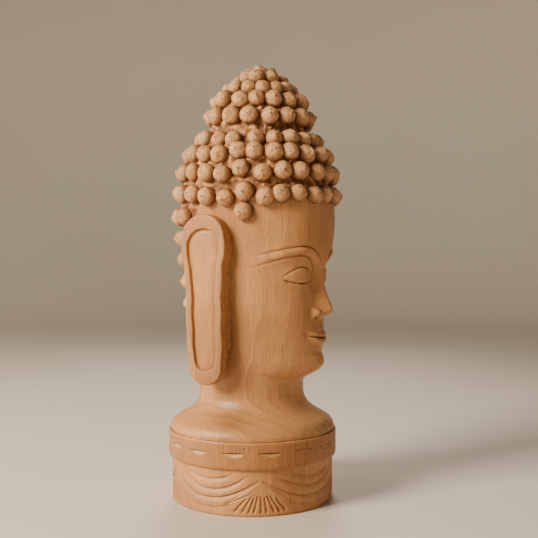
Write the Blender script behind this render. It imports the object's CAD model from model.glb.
"""The finished look of a carved wooden head with snail-shell curls, cut with its round base from one log.

Shapes are worked out in millimetres and placed in metres. Heights on the head count up from the collar's
top, and those on the base from the floor. Angles are 0 at the front and grow towards the figure's left, +X.
"""

import math

import bpy
import numpy as np
from mathutils import Matrix, Vector


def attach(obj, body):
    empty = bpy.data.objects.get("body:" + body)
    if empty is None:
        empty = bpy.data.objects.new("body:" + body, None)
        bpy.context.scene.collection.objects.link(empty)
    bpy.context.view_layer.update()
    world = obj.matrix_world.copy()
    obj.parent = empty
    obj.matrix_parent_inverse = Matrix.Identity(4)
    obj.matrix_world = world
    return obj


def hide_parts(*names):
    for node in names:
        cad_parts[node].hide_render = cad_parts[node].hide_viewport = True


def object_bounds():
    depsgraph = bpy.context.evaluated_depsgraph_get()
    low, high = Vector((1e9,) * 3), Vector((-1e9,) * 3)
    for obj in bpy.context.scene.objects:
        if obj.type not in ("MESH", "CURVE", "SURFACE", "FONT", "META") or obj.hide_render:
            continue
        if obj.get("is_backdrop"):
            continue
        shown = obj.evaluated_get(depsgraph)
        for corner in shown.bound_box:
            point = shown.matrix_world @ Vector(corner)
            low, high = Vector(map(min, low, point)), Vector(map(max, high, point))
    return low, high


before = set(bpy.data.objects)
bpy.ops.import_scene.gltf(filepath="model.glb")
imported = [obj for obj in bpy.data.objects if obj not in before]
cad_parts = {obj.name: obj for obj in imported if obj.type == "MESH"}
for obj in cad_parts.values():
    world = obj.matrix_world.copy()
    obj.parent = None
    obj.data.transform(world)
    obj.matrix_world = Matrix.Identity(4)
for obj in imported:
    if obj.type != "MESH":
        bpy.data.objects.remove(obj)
cad_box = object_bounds()

MM = 0.001

STATUE_HEIGHT = 300.0
# How far the face is turned to the right of the camera's view, in degrees
FACE_TURN = 62

# Base
DRUM_RADIUS = 56.0
DRUM_HEIGHT = 30.2
COLLAR_RADIUS = 58.4
COLLAR_TOP = 46.0

# The face's thirds, as in the solid
CHIN = 41.0
HAIRLINE = 158.0
THIRD = (HAIRLINE - CHIN) / 3
NOSE_BASE = CHIN + THIRD
MOUTH = NOSE_BASE - THIRD / 3
MOUTH_HALF = 12.2
EYE_LEVEL = NOSE_BASE + 0.70 * THIRD
EYE_WIDTH = 19.0
EYE_MIDDLE = 17.5
BROW_PEAK = 21.0
BROW_TOP = CHIN + 2 * THIRD + 5.5
BROW_FALL_IN = 0.038
BROW_FALL_OUT = 0.025
# How much higher the jaw's line is at the side than at the chin
JAW_RISE = 9.0

# Head sections: height, half width, front, back, squareness of the front
HEAD_STATIONS = np.array([
    (22.0, 35.3, 35.3, 35.3, 2.00),
    (28.0, 35.6, 35.5, 35.8, 2.00),
    (34.0, 36.0, 35.8, 37.4, 2.00),
    (38.0, 36.1, 38.3, 37.9, 1.95),
    (41.0, 36.3, 43.0, 38.0, 1.90),
    (44.5, 36.6, 47.2, 38.1, 1.85),
    (49.0, 37.0, 49.5, 38.3, 1.85),
    (57.0, 37.5, 49.2, 38.6, 1.90),
    (64.0, 38.0, 49.6, 39.0, 1.95),
    (79.0, 38.8, 49.8, 40.3, 2.10),
    (94.0, 39.6, 50.2, 41.8, 2.20),
    (106.0, 40.2, 51.6, 43.2, 2.25),
    (113.0, 40.5, 53.5, 44.4, 2.30),
    (120.0, 40.8, 55.6, 45.6, 2.35),
    (130.0, 41.2, 57.4, 47.0, 2.40),
    (144.0, 42.0, 58.5, 49.5, 2.40),
    (157.0, 44.0, 57.6, 50.2, 2.35),
    (162.5, 45.2, 55.8, 49.6, 2.20),
    (177.5, 44.4, 54.4, 46.9, 2.10),
    (189.0, 41.4, 50.6, 42.6, 2.10),
    (200.5, 34.4, 42.2, 34.0, 2.05),
    (207.0, 31.2, 38.6, 28.6, 2.00),
    (213.3, 30.6, 38.2, 26.6, 2.00),
    (227.0, 26.0, 32.9, 20.8, 2.00),
    (235.0, 20.0, 26.0, 13.0, 2.00),
    (241.5, 12.8, 18.2, 5.8, 2.00),
    (245.3, 6.0, 12.2, -0.2, 2.00),
])
CROWN = 247.3
# The head's widest place: height, distance behind the axis
WIDEST = np.array([
    (22, 0.0), (34, 1.0), (64, 3.0), (94, 4.0), (130, 4.0),
    (162, -1.0), (177, -2.5), (200, -4.5), (246, -6.2),
])
# Nose: height, how far it stands out, half width
NOSE = np.array([
    (74, 0, 7.0), (77.5, 0.6, 7.0), (80, 3.0, 7.0), (82.3, 8.2, 6.6), (85.5, 11.4, 5.8), (88.5, 10.6, 5.2),
    (96, 7.4, 4.6), (105, 4.6, 4.0), (111, 3.4, 4.2), (117, 2.4, 5.5), (124, 0.8, 8.0), (132, 0, 10.0),
])
# Shoulder, from the ring groove up into the neck: height, radius
SHOULDER = np.array([
    (5.4, 56.7), (8.0, 55.2), (9.9, 53.0), (12.5, 48.5), (15.4, 43.8), (17.7, 40.8),
    (20.0, 38.6), (24.0, 36.6), (29.0, 35.2), (36.0, 34.2), (50.0, 33.0),
])
NECK_SEAM = 28.0

# The hair's edge drops from the forehead to the nape between two angles, behind the ears
NAPE_EDGE = 69.0
HAIR_DROP = (112, 124)
# Curl rows on the nape, under the back of the hair: height, curl radius, how many would go all the way round
NAPE_ROWS = [
    (75.0, 6.0, 22), (89.0, 6.1, 22), (104.0, 6.2, 22), (119.0, 6.3, 22), (133.5, 6.4, 22), (148.5, 6.5, 23),
]
# Curl rows all the way round: height, curl radius, count, and the angles of those on the figure's right
ROWS = [
    (161.7, 6.3, 25, (-136, -119, -102, -84, -68, -53, -41, -29, -17, -4)),
    (176.3, 6.3, 25, (-140, -121, -105, -88, -73, -55, -40, -27, -12)),
    (188.0, 6.2, 23, (-131, -113, -96, -78, -63, -48, -34, -19, -3)),
    (198.0, 6.0, 20, (-129, -105, -86, -63, -46, -30, -15, 2)),
    (214.0, 6.3, 16, (-123, -96, -73, -48, -28, -8, 13)),
    (225.8, 6.1, 14, (-120, -88, -65, -42, -20, 4)),
    (234.2, 5.6, 12, (-112, -80, -56, -34, -10, 14)),
    (242.3, 5.8, 8, (-112, -70, -25)),
]
# The rows rise towards the back, dip beside the ears, and step up at one place on each side
ROW_RISE = 2.0
ROW_DIP = 2.6
ROW_DIP_AT = 78
ROW_STEP = 5.2
ROW_STEP_AT = 72
# A single curl in front of each ear: height, radius, angle
SIDEBURN = (150.5, 6.5, 66)
# Curls round the top and on it: how many, radius, distance from the middle, height above the crown
CROWN_CURLS = [(4, 5.6, 6.8, -0.4), (1, 5.6, 0.8, 0.5)]
# How far a curl stands out of the scalp, as a share of its radius, and how far it turns towards the level
CURL_STAND = 0.30
CURL_TILT = 0.45
# How close two curls may stand, as a share of both radii, and how often the crowded ones are moved
CURL_GAP = 0.92
CROWDING_ROUNDS = 14

# Ears
EAR_FACE = 51.0
EAR_ROOT = 33.0
LOBE_THICKNESS = 7.0
LOBE_FREE_BELOW = 53.0
LOBE_ROOT = 66.5
# Ear outline: height, distance of its middle behind the axis, half width
EAR_OUTLINE = np.array([
    (48.8, 7.6, 12.6), (60, 8.05, 13.15), (82, 8.7, 13.7), (104, 8.85, 14.3),
    (117, 9.4, 15.3), (121, 9.2, 16.1), (132.0, 9.3, 16.5),
])

# Fans on the drum: their angles, flutes in each, half of the angle they spread over, and their tops' height
FANS = [-128.0, -55.3, 24.0, 94.7, 163.3]
FLUTES = 9
FAN_HALF = 17.0
FAN_TOP = 23.0
# No cut of a fan reaches further from its middle than this angle
FAN_REACH = 34
# Folds of the swags between them: share of the way to the fans, lowest height, height of the ends, depth
SWAG_FOLDS = [
    (0.50, 23.4, 27.0, 1.25),
    (0.74, 17.3, 26.4, 1.45),
    (0.98, 10.9, 24.0, 1.45),
    (0.62, 5.6, 9.4, 0.70),
]
FOLD_REACH = 3.4
# Dashes round the collar, and three single pits as (angle, height)
DASHES = 15
DASH_START = 11.6 - FACE_TURN
DASH_HEIGHT = 41.2
PITS = [(-65.6, 44.0), (-18.0, 43.2), (70.0, 43.6)]


# Interpolation and small shape functions

def through(points, at, column=1):
    """Smooth curve, without overshoot, through rows of a position and values. The column picks the value."""
    x, y = points[:, 0].astype(float), points[:, column].astype(float)
    step = np.diff(x)
    slope = np.diff(y) / step
    tangent = np.zeros_like(y)
    tangent[0], tangent[-1] = slope[0], slope[-1]
    same_way = slope[1:] * slope[:-1] > 0
    mean = 2 * slope[1:] * slope[:-1] / np.where(same_way, slope[1:] + slope[:-1], 1)
    tangent[1:-1] = np.where(same_way, mean, 0)
    at = np.clip(at, x[0], x[-1])
    i = np.clip(np.searchsorted(x, at) - 1, 0, len(step) - 1)
    t = (at - x[i]) / step[i]
    return (
        (1 + 2 * t) * (1 - t) ** 2 * y[i] + t * (1 - t) ** 2 * step[i] * tangent[i]
        + t ** 2 * (3 - 2 * t) * y[i + 1] + t ** 2 * (t - 1) * step[i] * tangent[i + 1]
    )


def hill(distance, width):
    """1 at distance 0, falling off smoothly on both sides."""
    return np.exp(-((distance / width) ** 2))


def ramp(value, start, end):
    """0 at the start and before it, 1 at the end and after it, and a smooth rise between."""
    t = np.clip((value - start) / (end - start), 0, 1)
    return t * t * (3 - 2 * t)


def blend_max(a, b, softness):
    """The greater of two, with a soft passage from one to the other."""
    return 0.5 * (a + b + np.sqrt((a - b) ** 2 + softness ** 2))


def mound(across, up, half_width, half_height, fullness=1.0):
    """A round-topped rise of height 1. A fullness above 1 gives a flatter top and steeper sides."""
    return np.exp(-(((across / half_width) ** 2 + (up / half_height) ** 2) ** fullness))


def spread(stops):
    """Positions between the stops. Each stop is (position, spacing up to the next one)."""
    places = []
    for (start, spacing), (end, _) in zip(stops, stops[1:]):
        count = max(1, round((end - start) / spacing))
        places.extend(start + (end - start) * np.arange(count) / count)
    return np.array(places + [stops[-1][0]])


def scatter(cell, seed):
    """A repeatable number from 0 to 1 for each whole-numbered place."""
    n = cell.astype(np.int64) @ np.array([73856093, 19349663, 83492791]) + seed * 49979687
    n = ((n ^ (n >> 13)) & 0xFFFFFFFF) * 1274126177
    n = (n ^ (n >> 16)) & 0xFFFFFF
    return n / 0xFFFFFF


def unevenness(points, size, seed):
    """Smooth noise from -1 to 1 whose swells are about size across."""
    at = points / size
    cell = np.floor(at)
    t = at - cell
    t = t * t * (3 - 2 * t)
    total = np.zeros(points.shape[:-1])
    for corner in np.ndindex(2, 2, 2):
        weight = np.prod(np.where(np.array(corner) == 1, t, 1 - t), axis=-1)
        total += weight * scatter(cell + np.array(corner), seed)
    return 2 * total - 1


def scoops(points, size, seed):
    """Small bowls with sharp ridges between them, as a gouge leaves them: 0 in the middle of a bowl."""
    at = points / size
    cell = np.floor(at)
    nearest = np.full(points.shape[:-1], 9.0)
    for corner in np.ndindex(3, 3, 3):
        there = cell + np.array(corner) - 1
        centre = there + np.stack([scatter(there, seed + k) for k in range(3)], axis=-1)
        nearest = np.minimum(nearest, ((at - centre) ** 2).sum(axis=-1))
    return nearest


# The face, as a height in front of the plain head

def nose(side, h):
    across = side / through(NOSE, h, 2)
    ridge = through(NOSE, h) * (0.82 * hill(across, 1) + 0.18 * hill(across, 1.9))
    wing = 6.0 * mound(side - 7.3, h - NOSE_BASE - 3.6, 3.0, 3.6, 1.4)
    fold = 1.3 * mound(side - 11.2, h - NOSE_BASE - 3.5, 1.6, 4.4)
    nostril = 2.2 * mound(side - 5.2, h - NOSE_BASE - 0.4, 2.2, 1.1)
    return blend_max(ridge, wing, 1.2) - 0.6 - fold - nostril


def eyes(side, h):
    across = side - EYE_MIDDLE
    socket = 4.4 * mound(across + 0.5, h - EYE_LEVEL - 2.5, 13.5, 9.5)
    corner = 2.2 * mound(side - 8.5, h - EYE_LEVEL, 4.0, 7.0)
    ball = 4.6 * mound(across, h - EYE_LEVEL, EYE_WIDTH * 0.58, 7.2, 1.5)
    below = EYE_LEVEL - 3.6 + 0.022 * across ** 2 - h
    inside = ramp(EYE_WIDTH / 2 + 0.8 - np.abs(across), 0, 2.5)
    lid = 1.3 * ramp(below, -0.1, 0.6) * hill(below, 3.4) * inside
    cut = 1.3 * hill(below - 0.5, 0.6) * ramp(EYE_WIDTH / 2 + 2.5 - np.abs(across), 0, 3)
    crease_line = EYE_LEVEL + 6.6 - 0.055 * across ** 2
    crease = 1.3 * hill(h - crease_line, 0.8) * ramp(EYE_WIDTH / 2 + 2.5 - np.abs(across), 0, 4)
    return ball - socket - corner - lid - cut - crease


def mouth(x, h):
    side = np.abs(x)
    line = MOUTH - 0.5 + 0.011 * x ** 2
    taper = np.sqrt(np.clip(1 - (side / MOUTH_HALF) ** 2, 0, 1))
    bow = 1 - 0.22 * hill(side, 2.2)
    upper = np.clip((h - line) / np.maximum(4.9 * taper * bow, 0.01), 0, 1)
    lower = np.clip((line - h) / np.maximum(5.9 * taper ** 1.3, 0.01), 0, 1)
    lips = taper * (2.0 * np.sin(math.pi * upper ** 0.62) + 2.4 * np.sin(math.pi * lower ** 0.68))
    corner = 1.1 * mound(side - MOUTH_HALF - 0.3, h - line, 2.2, 2.4)
    philtrum = 0.7 * hill(side, 1.7) * mound(0, h - (MOUTH + NOSE_BASE) / 2 - 1.5, 1, 3.4)
    parting = 0.7 * hill(h - line, 0.7) * ramp(MOUTH_HALF + 1.2 - side, 0, 3)
    return lips - corner - philtrum - parting


def brow(side, h):
    """A raised band along each brow, between two carved lines."""
    across = side - BROW_PEAK
    fall = np.where(across < 0, BROW_FALL_IN, BROW_FALL_OUT)
    slope = 2 * fall * across
    off = (h - (BROW_TOP - fall * across ** 2)) / np.sqrt(1 + slope ** 2)
    shown = ramp(side, 4, 8) * (1 - ramp(side, 35, 40))
    band = 1.3 * hill(off, 2.2)
    above = 1.7 * hill(off - 2.9, 0.75)
    below = 1.5 * hill(off + 2.8, 0.75)
    return (band - above - below) * shown


def face_relief(x, h):
    side = np.abs(x)
    cheeks = 1.9 * mound(side - 21, h - 86, 12, 15)
    muzzle = 3.2 * mound(x, h - MOUTH + 1, 17, 15, 1.2)
    chin = 3.8 * mound(x, h - CHIN - 7.5, 10.5, 8.0, 1.1) - 1.2 * mound(x, h - CHIN - 15.5, 9.0, 2.6)
    return cheeks + muzzle + chin + brow(side, h) + nose(side, h) + eyes(side, h) + mouth(x, h)


# The head's surface

def section_radius(angle, h):
    """Distance from the section's widest place to its edge."""
    half, front, back, squareness = (through(HEAD_STATIONS, h, k) for k in (1, 2, 3, 4))
    middle = through(WIDEST, h)
    forward = np.cos(angle)
    depth = np.where(forward > 0, front + middle, back - middle)
    power = np.where(forward > 0, squareness, 2.1)
    total = np.abs(np.sin(angle) / half) ** power + np.abs(forward / depth) ** power
    return total ** (-1 / power)


def neck_radius(angle, h):
    """The section's radius, run softly into the shoulder below it."""
    return blend_max(section_radius(angle, h), through(SHOULDER, h), 1.2) - 0.1


def head_point(angle, h):
    """Points of the head, as an array with x, y and z last."""
    angle, h = np.broadcast_arrays(np.asarray(angle, float), np.asarray(h, float))
    level = h - JAW_RISE * (1 - np.cos(angle)) * ramp(h, 22, 40) * (1 - ramp(h, 62, 100))
    radius = np.where(h < 50, neck_radius(angle, level), section_radius(angle, level))
    x = radius * np.sin(angle)
    y = through(WIDEST, level) - radius * np.cos(angle)
    front = ramp(np.cos(angle), 0.15, 0.6) * (1 - ramp(h, 140, 156)) * ramp(h, 34, 42)
    return np.stack([x, y - face_relief(x, h) * front, h], axis=-1)


def head_normal(angle, h):
    step = 0.01
    across = head_point(angle + step, h) - head_point(angle - step, h)
    up = head_point(angle, h + 10 * step) - head_point(angle, h - 10 * step)
    normal = np.cross(across, up)
    return normal / np.linalg.norm(normal, axis=-1, keepdims=True)


def metres(points):
    """Millimetres to metres, with the heights counted from the collar."""
    return (np.asarray(points, float) + np.array([0, 0, COLLAR_TOP])) * MM


# Meshes

def piece(name, vertices, faces, sharp=60, **attributes):
    """A smooth-shaded object. Each attribute is one number for each vertex."""
    mesh = bpy.data.meshes.new(name)
    mesh.from_pydata(vertices.tolist(), [], faces.tolist())
    for label, values in attributes.items():
        layer = mesh.attributes.new(label, "FLOAT", "POINT")
        layer.data.foreach_set("value", np.ascontiguousarray(values, np.float32))
    mesh.shade_smooth()
    mesh.set_sharp_from_angle(angle=math.radians(sharp))
    made = bpy.data.objects.new(name, mesh)
    bpy.context.scene.collection.objects.link(made)
    return made


def ring_faces(rings, around):
    """Faces between rings of points, numbered ring after ring, as triangles."""
    ring, step = np.meshgrid(np.arange(rings - 1), np.arange(around), indexing="ij")
    here = ring * around
    after = (step + 1) % around
    first = np.stack([here + step, here + after, here + around + after], axis=-1)
    second = np.stack([here + step, here + around + after, here + around + step], axis=-1)
    return np.concatenate([first.reshape(-1, 3), second.reshape(-1, 3)])


def closed(rings):
    """Points and faces of a skin over rings of points, lowest first, with both ends filled."""
    count, around = rings.shape[:2]
    points = np.concatenate([rings.reshape(-1, 3), [rings[0].mean(axis=0), rings[-1].mean(axis=0)]])
    i = np.arange(around)
    j = (i + 1) % around
    last = (count - 1) * around
    low, high = count * around, count * around + 1
    ends = [np.stack([i * 0 + low, j, i], axis=-1), np.stack([i * 0 + high, last + i, last + j], axis=-1)]
    return points, np.concatenate([ring_faces(count, around)] + ends)


def at_ends(values):
    """A skin's numbers with one more for each filled end."""
    return np.concatenate([values.reshape(-1), [values[0].mean(), values[-1].mean()]])


def skin(name, rings, hollow, fresh=None):
    """A piece over rings of points. Fresh is where a late cut shows paler wood."""
    points, faces = closed(rings)
    cut = np.zeros(rings.shape[:2]) if fresh is None else fresh
    return piece(name, metres(points), faces, hollow=at_ends(hollow), fresh=at_ends(cut))


def normals_of(rings):
    """Outward directions of a skin's rings."""
    across = np.roll(rings, -1, axis=1) - np.roll(rings, 1, axis=1)
    up = np.gradient(rings, axis=0)
    normal = np.cross(across, up)
    return normal / np.maximum(np.linalg.norm(normal, axis=-1, keepdims=True), 1e-9)


def hollows(rings):
    """How hollow each place of a skin is, as its curvature in 1/mm. Ridges are below 0."""
    outward = normals_of(rings)
    bend = np.zeros(rings.shape[:2])
    below, above = np.concatenate([rings[:1], rings[:-1]]), np.concatenate([rings[1:], rings[-1:]])
    for near, far in ((np.roll(rings, 1, axis=1), np.roll(rings, -1, axis=1)), (below, above)):
        span = ((far - near) ** 2).sum(axis=-1) / 4
        bend += (((near + far) / 2 - rings) * outward).sum(axis=-1) / np.maximum(span, 0.05)
    for _ in range(2):
        bend = (2 * bend + np.roll(bend, 1, axis=1) + np.roll(bend, -1, axis=1)) / 4
        bend[1:-1] = (2 * bend[1:-1] + bend[2:] + bend[:-2]) / 4
    return np.clip(bend, -1.5, 1.5)


# Carved lines on the base, with angles in degrees

def turn_between(angle, middle):
    """How far an angle is past the middle, from -180 to 180."""
    return (angle - middle + 180) % 360 - 180


def notch(angle, z, start, end, widths, depth):
    """Depth of a V-shaped cut between two (angle, height) places, with its widths at those two."""
    along = np.radians(turn_between(angle, start[0])) * DRUM_RADIUS
    run = np.array([math.radians(turn_between(end[0], start[0])) * DRUM_RADIUS, end[1] - start[1]])
    rise = z - start[1]
    t = np.clip((along * run[0] + rise * run[1]) / (run @ run), 0, 1)
    away = np.hypot(along - t * run[0], rise - t * run[1])
    half = widths[0] + (widths[1] - widths[0]) * t
    return depth * np.clip(1 - away / half, 0, 1) * (0.45 + 0.55 * half / max(widths))


def fold(below):
    """Cross-section of a carved fold: a steep step in at its line, and a slow slope out below it."""
    return np.where(below < 0, np.exp(below / 0.34), np.clip(1 - below / FOLD_REACH, 0, 1) ** 1.3)


def swags(angle, z, chance):
    """Hanging folds between neighbouring fans."""
    depth = np.zeros_like(z)
    for number, fan in enumerate(FANS):
        after = FANS[(number + 1) % len(FANS)]
        half = (turn_between(after, fan) % 360) / 2
        middle = fan + half
        for reach, sag, end, deep in SWAG_FOLDS:
            share = turn_between(angle, middle + chance.uniform(-1.5, 1.5)) / (half * reach)
            sag_here = sag + chance.uniform(-0.5, 0.5)
            line = sag_here + (end - sag_here) * np.abs(share) ** 2.1
            fade = 1 - ramp(np.abs(share), 0.66, 1.08)
            cut = deep * fold(line - z) * fade * (np.abs(share) < 1.1)
            depth = np.maximum(depth, cut)
    return depth


def fans(angle, z, chance):
    """Short flutes that spread downwards from a point under the collar, with a long cut at each side."""
    depth = np.zeros_like(z)
    for fan in FANS:
        near = np.abs(turn_between(angle, fan)) < FAN_REACH
        a, h = angle[near], z[near]
        cut = np.zeros_like(h)
        for flute in range(FLUTES):
            t = 2 * flute / (FLUTES - 1) - 1
            low = (fan + FAN_HALF * t + chance.uniform(-0.5, 0.5), 3.0 + t * t + chance.uniform(-0.4, 0.4))
            share = 0.50 + chance.uniform(-0.05, 0.03) - 0.06 * t * t
            top = (fan + FAN_HALF * t * (1 - share), low[1] + (FAN_TOP - low[1]) * share)
            cut = np.maximum(cut, notch(a, h, top, low, (0.65, chance.uniform(0.90, 1.20)), 1.30))
        for side in (-1, 1):
            first = (fan + side * 1.5, 22.6)
            last = (fan + side * (26.0 + chance.uniform(-1, 1)), 6.0)
            cut = np.maximum(cut, notch(a, h, first, last, (0.8, 0.6), 0.8))
        cut = np.maximum(cut, notch(a, h, (fan - 6.8, 15.0), (fan - 21.5, 8.3), (0.5, 0.9), 0.9))
        depth[near] = np.maximum(depth[near], cut)
    return depth


def dashes(angle, z, chance):
    """Short scooped cuts round the collar, each with a sharp upper edge and a small pit at its left end.

    Returns their depth, and how dark their upper edges are.
    """
    depth = np.zeros_like(z)
    line = np.zeros_like(z)
    for dash in range(DASHES):
        middle = DASH_START + 360 / DASHES * dash + chance.uniform(-1.2, 1.2)
        level = DASH_HEIGHT + chance.uniform(-0.5, 0.5)
        half = chance.uniform(6.2, 8.2)
        along = np.radians(turn_between(angle, middle)) * COLLAR_RADIUS
        share = np.clip((along + half) / (2 * half), 0, 1)
        boat = np.sin(math.pi * share ** 1.25) ** 0.7
        tall = 0.5 + 2.9 * boat
        below = level + 0.3 * boat - z
        scoop = ramp(below, -0.25, 0.2) * np.clip(1 - below / tall, 0, 1)
        inside = np.abs(along) < half
        depth = np.maximum(depth, (0.35 + 1.35 * boat) * scoop * inside)
        line = np.maximum(line, hill(below - 0.1, 0.5) * inside)
        pit = np.hypot(along + half, z - level)
        depth = np.maximum(depth, 0.9 * hill(pit, 0.5))
    for place, level in PITS:
        away = np.hypot(np.radians(turn_between(angle, place)) * COLLAR_RADIUS, z - level)
        depth = np.maximum(depth, 0.9 * hill(away, 0.5))
    return depth, line


def base_profile():
    """(radius, height above the floor) from the underside's middle up to the neck's seam."""
    under = [(r, 0.0) for r in (1.0, 8.0, 18.0, 28.0, 38.0, 46.0, 51.0, 54.2)]
    foot = [(55.0, 0.12), (55.5, 0.45), (55.8, 0.95)]
    wall = [(55.9, z) for z in spread([(1.5, 0.46), (29.3, 1.0)])]
    collar = [
        (55.9, 29.9), (56.1, 30.15), (56.8, DRUM_HEIGHT), (57.4, 30.3),
        (57.9, 30.65), (58.2, 31.1), (58.35, 31.8),
    ]
    ring = [(COLLAR_RADIUS, z) for z in spread([(32.5, 0.7), (36.5, 0.36), (44.6, 0.6), (46.6, 1.0)])]
    lip = [(58.38, 47.0), (58.32, 47.35), (58.15, 47.7), (57.9, 47.9), (57.55, 47.92)]
    groove = [
        (57.25, 47.75), (57.05, 47.55), (56.85, 47.6), (56.8, 47.95), (56.88, 48.4),
        (56.95, 48.9), (56.98, 49.4), (56.95, 50.0), (56.87, 50.7),
    ]
    return np.array(under + foot + wall + collar + ring + lip + groove)


def turned_rings(profile, degrees, chance):
    """Rings of the drum and collar with their cuts, where a cut is fresh, and where its edge is dark."""
    shape = len(profile), len(degrees)
    radius, z, angle = (np.broadcast_to(part, shape) for part in (profile[:, :1], profile[:, 1:], degrees))
    depth, line = np.zeros(shape), np.zeros(shape)
    wall = (profile[:, 1] > 1.0) & (profile[:, 1] < 29.8)
    carving = np.maximum(swags(angle[wall], z[wall], chance), fans(angle[wall], z[wall], chance))
    depth[wall] = carving * (1 - ramp(z[wall], 27.5, 29.6))
    ring = (profile[:, 0] > COLLAR_RADIUS - 0.1) & (profile[:, 1] > 33)
    depth[ring], line[ring] = dashes(angle[ring], z[ring], chance)
    fresh = ramp(depth, 0.15, 0.7) * ring[:, None] * (1 - line)
    radius = radius - depth
    turn = np.radians(angle)
    return np.stack([radius * np.sin(turn), -radius * np.cos(turn), z - COLLAR_TOP], axis=-1), fresh, line


def shoulder_rings(degrees):
    """Rings from the groove above the collar up to just past the neck's seam."""
    angle = np.radians(degrees)[None, :]
    heights = spread([(5.4, 1.0), (NECK_SEAM + 4, 1.0)])[:, None]
    radius = neck_radius(angle, heights) - 0.06 * ramp(heights, NECK_SEAM - 1, NECK_SEAM + 4)
    return np.stack([
        radius * np.sin(angle),
        through(WIDEST, heights) - radius * np.cos(angle),
        np.broadcast_to(heights, radius.shape),
    ], axis=-1)


def base():
    """Drum, collar and shoulder, turned and then carved."""
    degrees = np.linspace(-180, 180, 640, endpoint=False)
    turned, cuts, line = turned_rings(base_profile(), degrees, np.random.default_rng(11))
    rings = np.concatenate([turned, shoulder_rings(degrees)])
    swell = 0.12 * unevenness(rings, 9.0, 3) + 0.04 * unevenness(rings, 2.6, 4)
    swell *= ramp(rings[..., 2] + COLLAR_TOP, 0.0, 2.0)
    rings = rings + normals_of(rings) * swell[..., None]
    fresh = np.zeros(rings.shape[:2])
    fresh[:len(cuts)] = cuts
    hollow = 0.85 * hollows(rings)
    hollow[:len(line)] += 0.9 * line
    return skin("turned_base", rings, hollow, fresh)


# Head

def hair_edge(angle):
    """Height where the scalp's rough wood begins: over the forehead in front, and on the nape behind."""
    start, end = np.radians(HAIR_DROP)
    return HAIRLINE - (HAIRLINE - NAPE_EDGE) * ramp(np.abs(angle), start, end)


def chipped(rings):
    """Height of the scalp's chips between the curls, and how dirty the wood is there."""
    bowls = np.clip(scoops(rings, 4.4, 5), 0, 0.7)
    small_bowls = np.clip(scoops(rings, 2.3, 8), 0, 0.8)
    return 3.4 * bowls + 1.3 * small_bowls + 0.4 * unevenness(rings, 2.0, 6) - 1.6, 1.5 - 2.6 * bowls


def head():
    """Face, neck and chipped scalp."""
    coarse = 1.0
    half = spread([(0, 0.62 * coarse), (58, 1.8), (180, 1.0)])
    angles = np.radians(np.concatenate([half, -half[-2:0:-1]]))[None, :]
    heights = spread([
        (NECK_SEAM - 5, 0.9), (40, 0.6 * coarse), (62, 0.45 * coarse), (86, 0.8),
        (98, 0.42 * coarse), (130, 0.9), (155, 1.25), (245.3, 1.0),
    ])[:, None]
    rings = head_point(angles, heights)
    hair = ramp(heights - hair_edge(angles), -1.0, 2.5)
    chips, dirt = chipped(rings)
    smooth = 0.09 * unevenness(rings, 11.0, 1) + 0.03 * unevenness(rings, 3.5, 2)
    dip = 0.06 * (1 - ramp(heights, NECK_SEAM - 4, NECK_SEAM + 1))
    rings = rings + normals_of(rings) * (hair * chips + (1 - hair) * smooth - dip)[..., None]
    return skin("head", rings, hollows(rings) * (1 - 0.9 * hair) + hair * dirt)


# Curls

def row_angles(h, count, seen):
    """Angles of one row's curls: the given ones, and the others spaced evenly over the rest of the row."""
    turn = np.radians(np.linspace(-180, 540, 1441))
    edge = head_point(turn, h)
    run = np.concatenate([[0], np.cumsum(np.linalg.norm(np.diff(edge, axis=0), axis=1))])
    given = np.radians(seen)
    start, end = np.interp([given[-1], given[0] + 2 * math.pi], turn, run)
    others = np.interp(np.linspace(start, end, count - len(seen) + 2)[1:-1], run, turn)
    return np.concatenate([given, (others + math.pi) % (2 * math.pi) - math.pi])


def crowded_apart(angle, h, radius, movable):
    """Curls that crowd each other, moved apart over the scalp as a carver would space them."""
    for _ in range(CROWDING_ROUNDS):
        centre = head_point(angle, h)
        gap = centre[:, None] - centre[None]
        distance = np.linalg.norm(gap, axis=-1) + np.eye(len(angle)) * 1e6
        want = CURL_GAP * (radius[:, None] + radius[None])
        push = np.clip(want - distance, 0, None) / distance * 0.4
        move = (gap * push[..., None]).sum(axis=1) * movable[:, None]
        across = (head_point(angle + 0.01, h) - head_point(angle - 0.01, h)) / 0.02
        up = head_point(angle, h + 0.5) - head_point(angle, h - 0.5)
        angle = angle + (move * across).sum(axis=1) / (across ** 2).sum(axis=1)
        h = np.minimum(h + (move * up).sum(axis=1) / (up ** 2).sum(axis=1), 243.0)
    return angle, h


def curl_frame(angle, h, radius, chance):
    """Matrix of a curl: its Z axis points out of the scalp, turned partly towards the level."""
    point = head_point(angle, h)
    normal = head_normal(angle, h)
    level = np.array([normal[0], normal[1], 0.0])
    level /= max(np.linalg.norm(level), 1e-6)
    axis = Vector(normal * (1 - CURL_TILT) + level * CURL_TILT + chance.normal(0, 0.07, 3)).normalized()
    centre = Vector(metres(point + np.array(axis) * radius * CURL_STAND))
    return Matrix.Translation(centre) @ axis.to_track_quat("Z", "Y").to_matrix().to_4x4()


def nape_curls():
    """(angle, height, radius, freedom to move) of the curls on the nape and before the ears."""
    rows = []
    for number, (h, radius, count) in enumerate(NAPE_ROWS):
        for angle in row_angles(h, count, (172 - 8 * (number % 2),)):
            if abs(angle) >= math.radians(HAIR_DROP[1]):
                rows.append((angle, h, radius, 1.0))
    h, radius, angle = SIDEBURN
    for side in (-1, 1):
        rows.append((side * math.radians(angle), h, radius, 0.0))
    return rows


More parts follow.
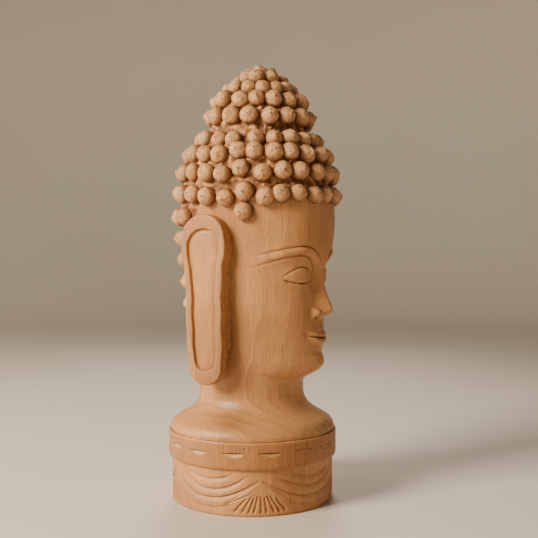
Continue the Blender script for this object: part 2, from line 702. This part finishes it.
def row_curls(chance):
    """(angle, height, radius, freedom to move) of the curls in the rows all the way round."""
    rows = []
    for h, radius, count, seen in ROWS:
        for number, angle in enumerate(row_angles(h, count, seen)):
            dip = ROW_DIP * hill(abs(angle) - math.radians(ROW_DIP_AT), math.radians(26)) * (h < 180)
            step = ROW_STEP * hill(abs(angle) - math.radians(ROW_STEP_AT), math.radians(6)) * (h < 192)
            rise = ROW_RISE * ramp(abs(angle), math.radians(103), math.radians(122))
            angle += chance.normal(0, 0.008)
            level = h + rise - dip + step + chance.normal(0, 0.4)
            rows.append((angle, level, radius * chance.uniform(0.95, 1.05), float(number >= len(seen))))
    return rows


def crown_curls(chance):
    """(matrix, radius) of the curls on top."""
    places = []
    for count, radius, distance, above in CROWN_CURLS:
        for curl in range(count):
            turn = 2 * math.pi * curl / count + 0.5
            out = Vector((math.sin(turn), -math.cos(turn), 0)) * distance
            centre = Vector((0, WIDEST[-1, 1], CROWN + above)) + out
            aim = (out * 0.11 + Vector((0, 0, 1))).to_track_quat("Z", "Y").to_matrix().to_4x4()
            matrix = Matrix.Translation(Vector(metres(centre))) @ aim
            places.append((matrix, radius * chance.uniform(0.95, 1.03)))
    return places


def curl_places(chance):
    """(matrix, radius in millimetres) of every curl."""
    angle, h, radius, movable = np.array(nape_curls() + row_curls(chance)).T
    angle, h = crowded_apart(angle, h, radius, movable)
    places = [(curl_frame(a, b, r, chance), r) for a, b, r in zip(angle, h, radius)]
    return places + crown_curls(chance)


# A curl from its foot to its tip: distance from its middle line, height when it is round, height when it is
# pointed, all as shares of its radius
CURL_PROFILE = np.array([
    (0.84, -0.70, -0.70), (0.95, -0.48, -0.48), (1.00, -0.26, -0.26), (0.995, -0.06, -0.06),
    (0.955, 0.16, 0.12), (0.88, 0.36, 0.29), (0.77, 0.535, 0.44), (0.64, 0.675, 0.57),
    (0.50, 0.775, 0.68), (0.36, 0.845, 0.775), (0.24, 0.885, 0.85), (0.17, 0.905, 0.90),
    (0.125, 0.935, 0.95), (0.085, 0.925, 0.955), (0.045, 0.85, 0.90),
])
# Dirt at a curl's foot and in its pit: row of the profile, how much
CURL_DIRT = np.array([(0, 1.5), (2, 1.3), (4, 0.8), (6, 0.3), (8, 0), (12, 0), (13, 0.9), (14, 1.5)])
TOPKNOT_FROM = 204.0


def sided(around, sides, turn):
    """A polygon's distance from its middle, from 1 at its corners."""
    step = 2 * math.pi / sides
    return math.cos(step / 2) / np.cos((around - turn) % step - step / 2)


def curl_shape(chance, around_count):
    """Rings of one curl, a dome or a blunt cone with a small nub and pit, cut with flat knife strokes."""
    around = np.linspace(0, 2 * math.pi, around_count, endpoint=False)
    lower = sided(around, chance.integers(9, 13), chance.uniform(0, 6.3))
    upper = sided(around, chance.integers(6, 9), chance.uniform(0, 6.3))
    pointed = chance.uniform(0, 1)
    profile = CURL_PROFILE[:, 1] * (1 - pointed) + CURL_PROFILE[:, 2] * pointed
    share = ramp(profile, 0.25, 0.75)[:, None]
    strokes = (1 - share) * lower + share * upper
    oval = 1 + chance.uniform(0, 0.05) * np.cos(2 * (around - chance.uniform(0, 6.3)))
    distance = CURL_PROFILE[:, :1] * (1 + (0.3 + 0.5 * share) * (strokes - 0.97)) * oval
    height = profile[:, None] * chance.uniform(0.94, 1.04) + 0 * distance
    lean = chance.normal(0, 0.05, 2)
    x = distance * np.cos(around) + lean[0] * np.maximum(height, 0)
    y = distance * np.sin(around) + lean[1] * np.maximum(height, 0)
    return np.stack([x, y, height], axis=-1)


def curl_group(name, places, chance, first):
    """Curls at the given places, in one object."""
    around = 36
    dirt = np.interp(np.arange(len(CURL_PROFILE)), CURL_DIRT[:, 0], CURL_DIRT[:, 1])
    points, faces, shade, hollow = [], [], [], []
    start = 0
    for number, (matrix, radius) in enumerate(places, start=first):
        rings = curl_shape(chance, around) * radius
        away = rings + 40.0 * number
        marks = 0.75 * scoops(away, 3.2, 7) + 0.20 * unevenness(away, 1.5, 8) - 0.25
        rings = rings + normals_of(rings) * (marks * ramp(rings[..., 2], -4.5, -2.0))[..., None]
        own_points, own_faces = closed(rings)
        turned = np.array(matrix)
        points.append(own_points * MM @ turned[:3, :3].T + turned[:3, 3])
        faces.append(own_faces + start)
        start += len(own_points)
        shade.append(np.full(len(own_points), chance.uniform(0, 1)))
        hollow.append(at_ends(dirt[:, None] + 0.25 * np.clip(hollows(rings), -1, 1)))
    return piece(name, np.concatenate(points), np.concatenate(faces), 50,
                 curl=np.concatenate(shade), hollow=np.concatenate(hollow))


def curls():
    """The scalp's curls as one object and the topknot's as another."""
    chance = np.random.default_rng(4)
    places = curl_places(chance)
    limit = (TOPKNOT_FROM + COLLAR_TOP) * MM
    low = [place for place in places if place[0].translation.z < limit]
    high = [place for place in places if place[0].translation.z >= limit]
    return curl_group("curls", low, chance, 0), curl_group("topknot_curls", high, chance, len(low))


# Ears

def ear_loop(inset, rounded, sides):
    """Closed outline of an ear, inset from its edge, as rows of (distance behind the axis, height)."""
    low, high = EAR_OUTLINE[0], EAR_OUTLINE[-1]
    over = np.linspace(0, math.pi, rounded)
    under = np.linspace(math.pi, 2 * math.pi, rounded)
    levels = np.linspace(low[0], high[0], sides + 2)[1:-1]
    centre = through(EAR_OUTLINE, levels)
    width = through(EAR_OUTLINE, levels, 2) - inset
    caps = []
    for (level, behind, half), turn in ((high, over), (low, under)):
        radius = half - inset
        caps.append(np.stack([behind + radius * np.cos(turn), level + radius * np.sin(turn)], axis=-1))
    front = np.stack([centre - width, levels], axis=-1)[::-1]
    back = np.stack([centre + width, levels], axis=-1)
    return np.concatenate([caps[0], front, caps[1], back])


def ear_spine(loop):
    """The place on the ear's middle line that each point of a loop closes to."""
    levels = np.clip(loop[:, 1], EAR_OUTLINE[0, 0], EAR_OUTLINE[-1, 0])
    return np.stack([through(EAR_OUTLINE, levels), levels], axis=-1)


# Across an ear's face from its edge: distance in, and depth below the face
EAR_SECTION = [
    (0.0, 1.3), (0.10, 0.75), (0.3, 0.35), (0.7, 0.08), (1.3, 0.0), (3.0, -0.04), (4.2, 0.0), (4.5, 0.10),
    (4.65, 0.45), (4.75, 1.0), (4.85, 1.6), (5.0, 2.1), (5.25, 2.25), (5.7, 2.1), (6.3, 1.8), (7.0, 1.55),
    (7.8, 1.4), (8.8, 1.35),
]
# The panel stops further from the ear's top and bottom than from its sides
PANEL_SHARE = 0.91
RIM_LOOPS = 7
PANEL_STEPS = 7
WALL_STEPS = 12


def closing(ring):
    """Copies of a ring that close to the ear's middle line, each with its share of the way."""
    spine = ear_spine(ring[:, 1:])
    for t in np.linspace(0, 1, PANEL_STEPS + 1)[1:]:
        nearer = ring.copy()
        nearer[:, 1:] = ring[:, 1:] * (1 - t) + spine * t
        yield t, nearer


def ear_face(rounded, sides):
    """Rings over an ear's face, from its edge in to the middle of its panel."""
    outline = ear_loop(0, rounded, sides)
    middle = (outline[:, 1].max() + outline[:, 1].min()) / 2
    rings = []
    for inset, depth in EAR_SECTION:
        loop = ear_loop(inset, rounded, sides)
        share = 1 - (1 - PANEL_SHARE) * ramp(inset, 1.3, 4.2)
        loop[:, 1] = middle + (loop[:, 1] - middle) * share
        rings.append(np.column_stack([np.full(len(loop), EAR_FACE - depth), loop]))
    for t, ring in closing(rings[-1]):
        ring[:, 0] += 0.15 * math.sin(math.pi * t / 2)
        rings.append(ring)
    return rings


def ear_back(outer):
    """Rings from an ear's edge back to the head, and over its hidden side to the middle line."""
    inner = [LOBE_FREE_BELOW, LOBE_ROOT, LOBE_ROOT + 6], [EAR_FACE - LOBE_THICKNESS, 37, EAR_ROOT]
    inner_x = np.interp(outer[:, 2], *inner)
    rings = []
    for t in np.linspace(0, 1, WALL_STEPS + 1)[1:]:
        ring = outer.copy()
        ring[:, 0] = outer[:, 0] * (1 - t) + inner_x * t
        rings.append(ring)
    for _, ring in closing(rings[-1]):
        ring[:, 0] = np.interp(ring[:, 2], *inner)
        rings.append(ring)
    return rings


def ear(side):
    """One ear, with a wavy edge and knife marks behind: the left one for 1, the right one for -1."""
    face_rings = ear_face(41, 110)
    back_rings = ear_back(face_rings[0])
    rings = np.array(back_rings[::-1] + face_rings)
    number = np.arange(len(rings))[:, None] - len(back_rings)
    face = number >= 0
    rim = face & (number < RIM_LOOPS)
    wave = 0.55 * np.sin(rings[..., 2] / 9.5 + 1.2) * np.sin(rings[..., 2] / 5.1 + 2.0)
    outward = rings[..., 1] - through(EAR_OUTLINE, rings[..., 2])
    rings[..., 1] += wave * np.clip(outward / 12, -1, 1)
    seed = 20 + side
    swell = 0.12 * unevenness(rings, 7.0, seed) + 0.05 * unevenness(rings, 2.4, seed + 5)
    strokes = 1.1 * scoops(rings * np.array([0.55, 1, 0.8]), 3.6, seed + 9) - 0.35
    rings = rings + normals_of(rings) * np.where(face, swell, strokes)[..., None]
    rings[..., 1] += 0.10 * unevenness(rings, 6.0, seed + 9)
    hollow = np.where(face, 0.25, 1.0) * hollows(rings) + np.where(rim, 0.36, np.where(face, 0, 0.2))
    rings[..., 0] *= side
    if side < 0:
        rings, hollow = rings[:, ::-1], hollow[:, ::-1]
    return skin("ear_left" if side > 0 else "ear_right", rings, hollow)


# Finish

class Varying:
    """A number that changes over the surface. Working with it adds the maths nodes."""

    def __init__(self, finish, socket):
        self.finish = finish
        self.socket = socket

    def maths(self, operation, *others):
        return self.finish.node("ShaderNodeMath", {"operation": operation}, dict(enumerate((self,) + others)))

    def __add__(self, other):
        return self.maths("ADD", other)

    def __mul__(self, other):
        return self.maths("MULTIPLY", other)

    def __sub__(self, other):
        return self.maths("SUBTRACT", other)

    def __rsub__(self, other):
        return self.finish.node("ShaderNodeMath", {"operation": "SUBTRACT"}, {0: other, 1: self})

    def __truediv__(self, other):
        return self.maths("DIVIDE", other)

    def __pow__(self, other):
        return self.maths("POWER", other)

    __radd__ = __add__
    __rmul__ = __mul__


class Finish:
    """One material and its nodes."""

    def __init__(self, name):
        self.material = bpy.data.materials.new(name)
        self.material.use_nodes = True
        self.tree = self.material.node_tree
        self.shader = self.tree.nodes["Principled BSDF"]
        self.place = self.node("ShaderNodeTexCoord", {}, {}, "Object")

    def feed(self, socket, value):
        """Link a number that changes over the surface, or set a fixed one."""
        if isinstance(value, Varying):
            self.tree.links.new(value.socket, socket)
        else:
            socket.default_value = value

    def node(self, kind, settings, inputs, output=0):
        """A node, with its settings made first, and then its sockets fed."""
        made = self.tree.nodes.new(kind)
        for name, value in settings.items():
            if name == "stops":
                self.set_stops(made.color_ramp, value)
            else:
                setattr(made, name, value)
        for name, value in inputs.items():
            self.feed(made.inputs[name], value)
        return Varying(self, made.outputs[output])

    @staticmethod
    def set_stops(ramp_shape, stops):
        while len(ramp_shape.elements) < len(stops):
            ramp_shape.elements.new(0.5)
        for element, (position, level) in zip(ramp_shape.elements, stops):
            element.position = position
            element.color = (level, level, level, 1)

    def graded(self, value, stops):
        """The value read against a scale of (position, level) stops."""
        return self.node("ShaderNodeValToRGB", {"stops": stops}, {"Fac": value})

    def mix(self, share, first, second):
        return self.node("ShaderNodeMix", {"data_type": "RGBA"}, {0: share, 6: first, 7: second}, 2)

    def between(self, value, low, high):
        """0 at low and below, 1 at high and above."""
        return self.node(
            "ShaderNodeMapRange", {"interpolation_type": "SMOOTHSTEP"},
            {"Value": value, "From Min": low, "From Max": high},
        )

    def noise(self, scale, detail=2.0, roughness=0.5, squeeze=1):
        """Noise over the piece. A squeeze below 1 draws it out along the height."""
        at = self.place
        if squeeze != 1:
            at = self.node("ShaderNodeVectorMath", {"operation": "MULTIPLY"}, {0: at, 1: (1, 1, squeeze)})
        return self.node(
            "ShaderNodeTexNoise", {},
            {"Vector": at, "Scale": scale, "Detail": detail, "Roughness": roughness},
        )

    def attribute(self, name):
        return self.node("ShaderNodeAttribute", {"attribute_name": name}, {}, "Fac")


# Colours of the wood
PALE = (0.57, 0.268, 0.097, 1)
TAN = (0.45, 0.198, 0.068, 1)
DEEP = (0.155, 0.058, 0.020, 1)
ROSE = (0.51, 0.222, 0.090, 1)
WORN = (0.68, 0.360, 0.145, 1)
STAIN = (0.22, 0.075, 0.018, 1)
KNIFE_CUT = (0.73, 0.405, 0.195, 1)
PALE_SPOT = (0.84, 0.500, 0.245, 1)

# The log in metres: its heart from the statue's axis, its lean for each metre up, the width of a year's ring,
# and how far the rings wander
HEART = (0.0890, -0.0160)
LOG_LEAN = 0.05
RING = 0.0062
RING_WANDER = 0.016
# Over one year, how dark its late wood is, and how pale the edge where the next year starts
LATE_WOOD = [(0.0, 0.0), (0.10, 0.12), (0.50, 0.38), (0.86, 0.85), (0.93, 1.0), (0.97, 0.15)]
RING_EDGE = [(0.0, 0.9), (0.05, 0.0), (0.93, 0.0), (0.97, 1.0), (1.0, 0.9)]
# How strongly the rings show, from the floor to the top: most on the shoulder and neck
RINGS_SHOWN = [(0.0, 0.25), (0.15, 0.25), (0.17, 1.0), (0.28, 1.0), (0.42, 0.12), (1.0, 0.12)]
# A darker patch on the shoulder
DARK_PATCH = (-0.0443, -0.0081, 0.0610)


class Log(Finish):
    """The log's wood, with what its polished and its knife-cut places share."""

    def __init__(self, name):
        super().__init__(name)
        self.x, self.y, self.z = (
            self.node("ShaderNodeSeparateXYZ", {}, {0: self.place}, axis) for axis in "XYZ"
        )
        self.warp = self.noise(26, 3.0, 0.55, 0.35)
        self.fibre = self.noise(900, 3.0, 0.65, 0.065)
        self.streak = self.noise(170, 3.0, 0.6, 0.09)
        self.blotch = self.noise(55, 3.0, 0.6)
        self.pores = self.between(self.noise(1500, 1.0, squeeze=0.10), 0.66, 0.74)
        self.shown = self.graded(self.z / (STATUE_HEIGHT * MM), RINGS_SHOWN)
        self.hollow = self.attribute("hollow")

    def ground(self):
        """Broad changes of tone, and the darker patch."""
        colour = self.mix(self.between(self.noise(17), 0.35, 0.68), PALE, TAN)
        colour = self.mix(self.between(self.blotch, 0.45, 0.75) * 0.35, colour, ROSE)
        away = self.node(
            "ShaderNodeVectorMath", {"operation": "DISTANCE"}, {0: self.place, 1: DARK_PATCH}, "Value"
        )
        patch = 1 - self.between(away + (self.warp - 0.5) * 0.020, 0.001, 0.013)
        return self.mix(patch * 0.34, colour, DEEP)

    def ringed(self, colour):
        """Year rings round the log's heart."""
        lean = self.z * LOG_LEAN
        across = self.x - HEART[0] + lean
        away = self.y - HEART[1] - lean
        distance = (across * across + away * away) ** 0.5
        season = ((distance + (self.warp - 0.5) * RING_WANDER) / RING).maths("FRACT")
        late = self.graded(season, LATE_WOOD)
        edge = self.graded(season, RING_EDGE)
        strength = self.between(self.noise(14, 1.0), 0.35, 0.65) * self.shown * 1.7
        colour = self.mix(late * (0.16 + 0.32 * strength), colour, DEEP)
        return self.mix(edge * (0.04 + 0.42 * strength), colour, WORN)

    def clean(self):
        """The log's own colour, with its streaks, fibres and pores."""
        colour = self.ringed(self.ground())
        colour = self.mix(self.between(self.streak, 0.40, 0.75) * 0.15, colour, DEEP)
        colour = self.mix(self.between(self.fibre, 0.44, 0.70) * 0.26, colour, DEEP)
        return self.mix(self.pores * 0.22, colour, DEEP)

    def stained(self, colour):
        """A darker, flecked stain over the collar."""
        low = DRUM_HEIGHT * MM
        high = COLLAR_TOP * MM
        collar = self.between(self.z, low, low + MM)
        collar *= 1 - self.between(self.z, high + 0.2 * MM, high + 1.4 * MM)
        flecks = self.between(self.noise(620, 2.0, 0.7, 0.30), 0.52, 0.66)
        return self.mix(collar * (0.40 + 0.25 * flecks), colour, STAIN)

    def aged(self, colour):
        """Dirt in the hollows, and wear on the ridges."""
        colour = self.mix(self.between(self.hollow, 0.06, 1.10) * 0.86, colour, DEEP)
        return self.mix(self.between(self.hollow, -0.20, -1.50) * 0.36, colour, WORN)

    def finished(self, colour, rough, height):
        self.feed(self.shader.inputs["Base Color"], colour)
        self.feed(self.shader.inputs["Roughness"], rough)
        bump = self.node("ShaderNodeBump", {}, {"Strength": 0.6, "Distance": 0.0004, "Height": height})
        self.feed(self.shader.inputs["Normal"], bump)
        self.shader.inputs["Coat Roughness"].default_value = 0.35
        self.shader.inputs["Specular IOR Level"].default_value = 0.28
        return self.material


def polished_wood():
    """Smooth wood with a thin polish that the carved hollows lack. Late cuts in it are paler."""
    log = Log("polished_wood")
    colour = log.aged(log.stained(log.clean()))
    colour = log.mix(log.attribute("fresh") * 0.55, colour, WORN)
    polish = log.shown * (1 - log.between(log.hollow, 0.1, 0.6))
    log.feed(log.shader.inputs["Coat Weight"], polish * 0.18 + 0.04)
    rough = 0.38 + log.fibre * 0.12 + log.between(log.hollow, 0.1, 0.8) * 0.25
    height = log.fibre * -1.0 + log.streak * 0.6 - log.pores * 0.5
    return log.finished(colour, rough, height)


def curl_wood():
    """Knife-cut wood: paler, with short grain and pale spots, and each curl in its own shade."""
    log = Log("curl_wood")
    grain = log.noise(950, 2.0, 0.7, 0.5)
    spots = log.noise(1300, 2.0, 0.7)
    colour = log.mix(0.30 + log.attribute("curl") * 0.45, log.clean(), KNIFE_CUT)
    colour = log.mix(log.between(grain, 0.47, 0.60) * 0.46, colour, DEEP)
    colour = log.mix(log.between(spots, 0.54, 0.66) * 0.35, colour, PALE_SPOT)
    log.shader.inputs["Coat Weight"].default_value = 0.04
    rough = 0.46 + log.fibre * 0.15
    height = grain * -3.0 + log.blotch * 0.4
    return log.finished(log.aged(colour), rough, height)


def dressed(made, material):
    """The piece stands for the solid carving and takes the wood's finish."""
    made.data.materials.append(material)
    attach(made, "root")
    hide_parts("buddha_head")


# Studio: TOWARD points from the statue to the camera, and RIGHT to the right of its view

VIEW = math.radians(-FACE_TURN)
TOWARD = Vector((math.sin(VIEW), -math.cos(VIEW), 0))
RIGHT = Vector((math.cos(VIEW), math.sin(VIEW), 0))
UP = Vector((0, 0, 1))
CAMERA_PLACE = TOWARD * 0.597 + RIGHT * 0.0116 + UP * 0.1658
CAMERA_DIP = math.radians(0.74)
FLOOR_SHADES = (0.60, 0.53, 0.46, 1), (0.66, 0.585, 0.51, 1)


def camera():
    data = bpy.data.cameras.new("camera")
    data.lens = 56.9
    data.sensor_width = 36
    made = bpy.data.objects.new("camera", data)
    bpy.context.scene.collection.objects.link(made)
    made.location = CAMERA_PLACE
    made.rotation_euler = (math.pi / 2 - CAMERA_DIP, 0, math.atan2(-TOWARD.y, -TOWARD.x) - math.pi / 2)
    bpy.context.scene.camera = made


def lamp(name, place, aim, size, watts, colour, spread=180, glints=True):
    """A square soft light. With glints off, it lights the wood but makes no highlight on it."""
    data = bpy.data.lights.new(name, "AREA")
    data.size = size
    data.spread = math.radians(spread)
    data.energy = watts
    data.color = colour
    made = bpy.data.objects.new(name, data)
    made.location = place
    made.rotation_euler = (place - aim).to_track_quat("Z", "Y").to_euler()
    made.visible_glossy = glints
    bpy.context.scene.collection.objects.link(made)


def light():
    middle = UP * 0.15
    lamp("key", TOWARD * 0.78 - RIGHT * 1.14 + UP * 0.88, middle, 0.60, 52, (1.0, 0.91, 0.72))
    lamp("side", -TOWARD * 0.30 - RIGHT * 1.45 + UP * 0.25, UP * 0.05, 0.7, 12, (1.0, 0.85, 0.65))
    lamp("front", TOWARD * 0.1 + RIGHT * 1.4 + UP * 0.7, middle, 1.2, 0.9, (1.0, 0.92, 0.84))
    lamp("back", TOWARD * -1.4 + UP * 0.7, middle, 0.7, 2.6, (1.0, 0.94, 0.86), 45, False)
    world = bpy.data.worlds.new("studio")
    world.use_nodes = True
    background = world.node_tree.nodes["Background"]
    background.inputs["Color"].default_value = (0.72, 0.84, 0.96, 1)
    background.inputs["Strength"].default_value = 0.055
    bpy.context.scene.world = world


def floor():
    """A pale floor that rises to a low wall all round."""
    flat, curve, wall = 1.5, 0.8, 1.6
    profile = [(r, 0.0) for r in (0.001, 0.5, 1.0, flat)]
    for a in np.linspace(0.1, math.pi / 2, 16):
        profile.append((flat + curve * math.sin(a), curve * (1 - math.cos(a))))
    profile.append((flat + curve, wall))
    around = 96
    turn = np.linspace(0, 2 * math.pi, around, endpoint=False)[None, :]
    r, z = (np.array(profile)[:, k][:, None] for k in (0, 1))
    rings = np.stack([r * np.cos(turn), r * np.sin(turn), z + 0 * turn], axis=-1)
    made = piece("floor", rings.reshape(-1, 3), ring_faces(len(profile), around))
    finish = Finish("floor_paint")
    finish.feed(finish.shader.inputs["Base Color"], finish.mix(finish.noise(3.0, 3.0), *FLOOR_SHADES))
    finish.shader.inputs["Roughness"].default_value = 0.75
    made.data.materials.append(finish.material)
    made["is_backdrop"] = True


camera()
light()
floor()
polished = polished_wood()
for made in (base(), head(), ear(1), ear(-1)):
    dressed(made, polished)
knife_cut = curl_wood()
for made in curls():
    dressed(made, knife_cut)

[[list(corner) for corner in box] for box in (cad_box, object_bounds())]
